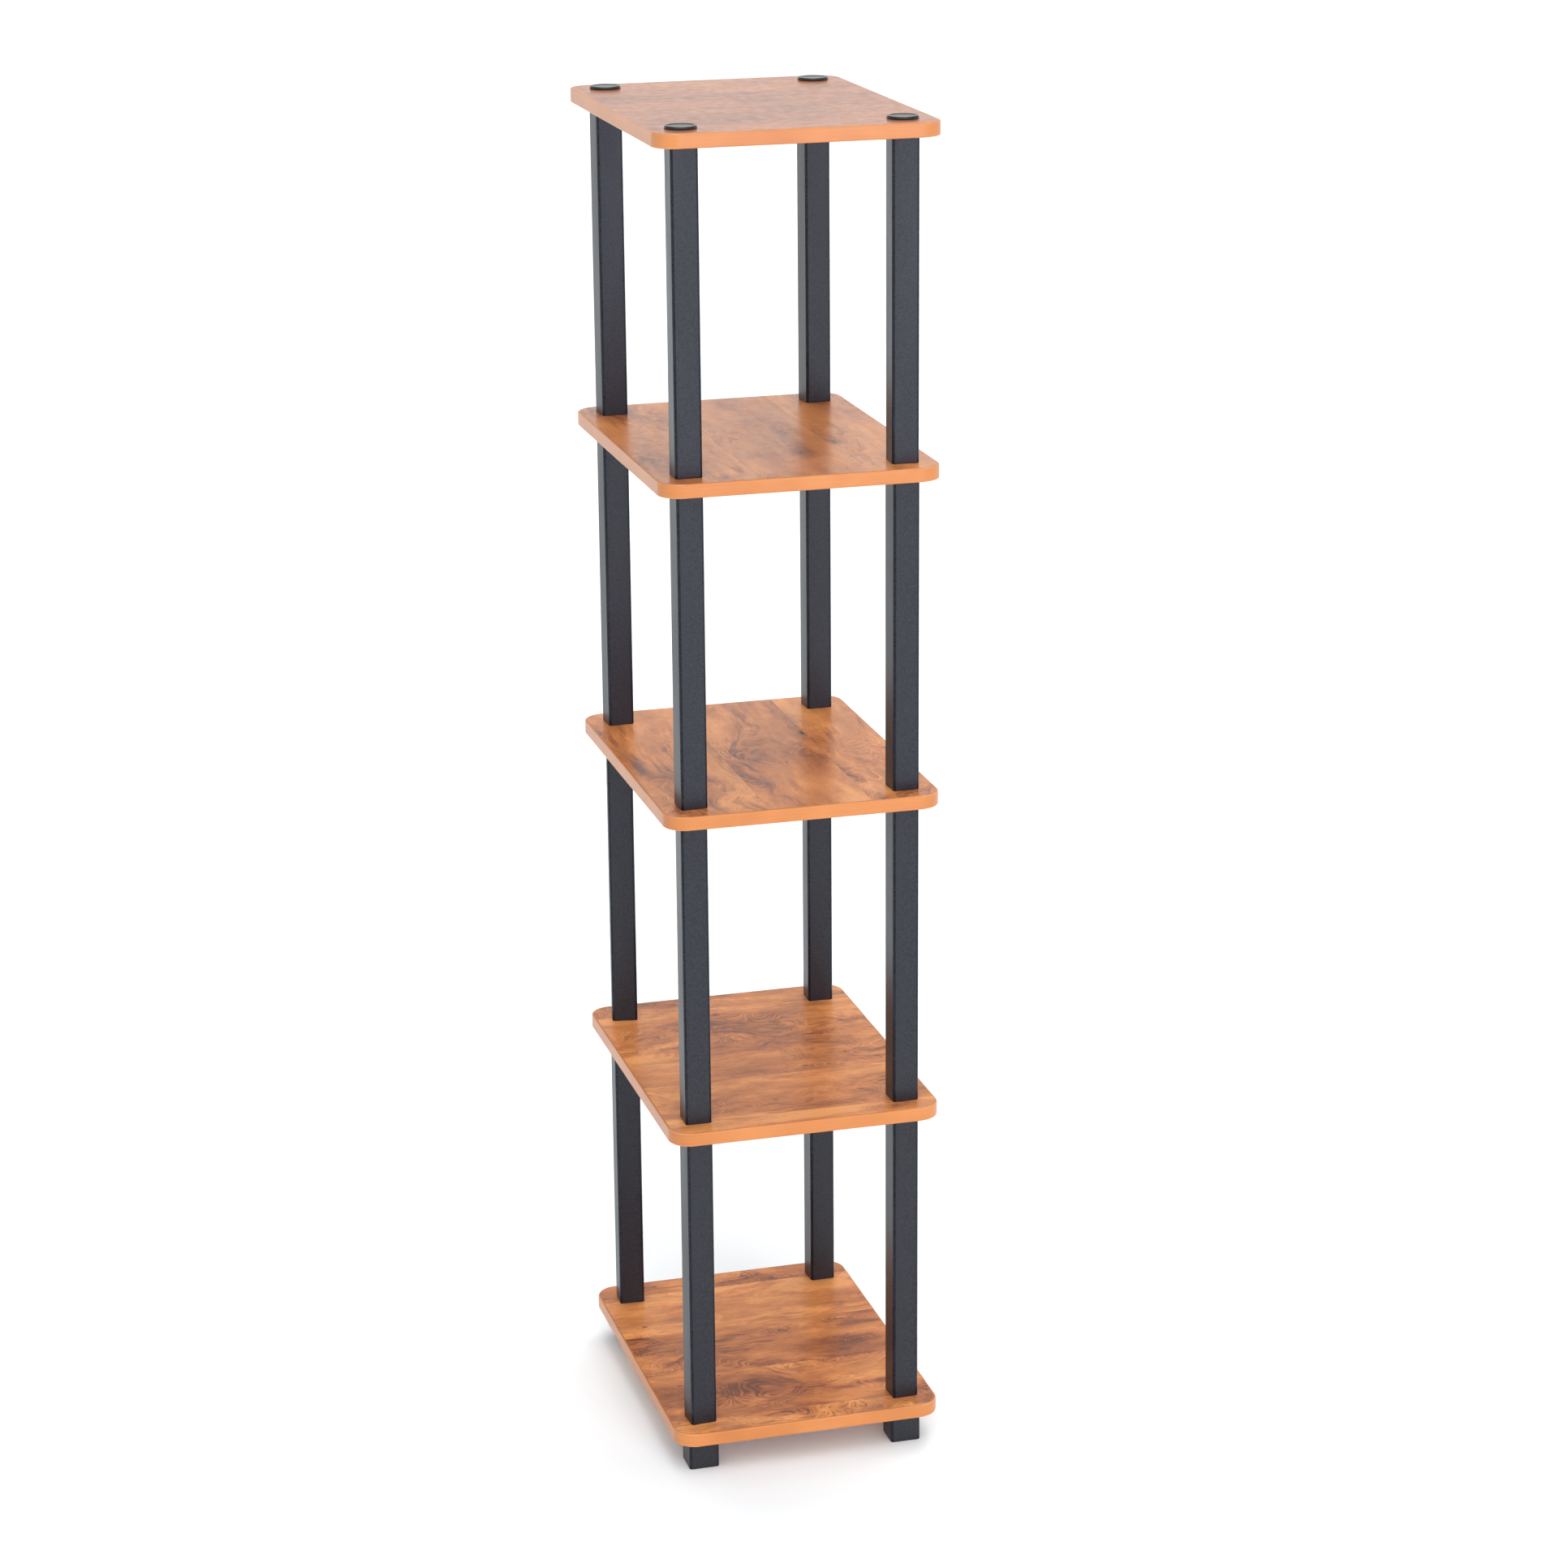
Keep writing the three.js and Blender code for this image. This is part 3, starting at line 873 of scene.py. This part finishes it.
# %% The studio
BACKDROP = (
    (0.00, (1.18, 1.18, 1.14)),
    (0.15, (1.05, 1.05, 1.02)),
    (0.28, (0.37, 0.37, 0.37)),
    (0.40, (0.19, 0.19, 0.19)),
    (1.00, (0.18, 0.18, 0.18)),
)
BACKDROP_STRENGTH = 1.70
FLOOR_WHITE = (0.893, 0.932, 0.951, 1)
FLOOR_SIDE = 160.0
FLOOR_GAP = 0.02 * MM
TOP_TIER = Vector((0, 0, 1.27))
WINDOW_PLACE = Vector((1.06, -3.93, 1.05))
WINDOW_BLUE = (0.70, 0.70, 1.0)
CARD_WHITE = (0.88, 0.93, 1.0)

world = bpy.data.worlds.new("backdrop")
scene.world = world
world.use_nodes = True
sky = world.node_tree
ahead = add(sky, "ShaderNodeTexCoord").outputs["Generated"]
height = add(sky, "ShaderNodeSeparateXYZ", {0: ahead}).outputs["Z"]
sky.links.new(ramp(sky, height, BACKDROP), sky.nodes["Background"].inputs["Color"])
sky.nodes["Background"].inputs["Strength"].default_value = BACKDROP_STRENGTH
scene.view_settings.view_transform = "Standard"

floor_paint = bpy.data.materials.new("floor_paint")
floor_paint.use_nodes = True
paint = floor_paint.node_tree.nodes["Principled BSDF"].inputs
paint["Base Color"].default_value = FLOOR_WHITE
paint["Roughness"].default_value = 0.9
paint["Specular IOR Level"].default_value = 0.0
bm = bmesh.new()
bmesh.ops.create_grid(bm, x_segments=1, y_segments=1, size=FLOOR_SIDE / 2)
bmesh.ops.translate(bm, vec=(0, 0, -FLOOR_GAP), verts=bm.verts)
mesh = bpy.data.meshes.new("floor")
bm.to_mesh(mesh)
bm.free()
mesh.materials.append(floor_paint)
floor = bpy.data.objects.new("floor", mesh)
scene.collection.objects.link(floor)


def aimed(direction):
    """The turn that lets a lamp, which shines down its own -Z, shine against this direction."""
    return direction.to_track_quat("Z", "Y").to_matrix().to_4x4()


def soft_box(name, height, turn, spread, strength, colour=(1, 1, 1), card=False):
    """A sun with a wide disc. Height is above the floor, turn is from the front to the left."""
    light = bpy.data.lights.new(name, "SUN")
    light.angle = math.radians(spread)
    light.energy = strength
    light.use_shadow = not card
    light.color = colour
    lamp = bpy.data.objects.new(name, light)
    lamp.visible_glossy = not card
    scene.collection.objects.link(lamp)
    rise, side = math.radians(height), math.radians(turn)
    level = math.cos(rise)
    towards = Vector((-math.sin(side) * level, -math.cos(side) * level, math.sin(rise)))
    lamp.matrix_world = aimed(towards)
    print(f"{name}: {height} degrees up, {turn} degrees to the left, {strength} W per square metre")


def window(place, aim, width, height, power, colour):
    """A near lamp with the shape of a window. The camera doesn't see it, but the posts do."""
    light = bpy.data.lights.new("window", "AREA")
    light.shape = "RECTANGLE"
    light.size, light.size_y = width, height
    light.energy = power
    light.color = colour
    lamp = bpy.data.objects.new("window", light)
    lamp.visible_camera = False
    scene.collection.objects.link(lamp)
    lamp.matrix_world = Matrix.Translation(place) @ aimed(place - aim)
    print(f"window: {width} by {height} m, {(place - aim).length:.1f} m from the top tier")


soft_box("key", height=50, turn=15, spread=56, strength=1.9)
soft_box("back_light", height=70, turn=-150, spread=44, strength=1.48)
soft_box("low_fill", height=11, turn=-14, spread=24, strength=1.5, colour=CARD_WHITE, card=True)
window(WINDOW_PLACE, TOP_TIER, width=1.6, height=0.9, power=15.5, colour=WINDOW_BLUE)
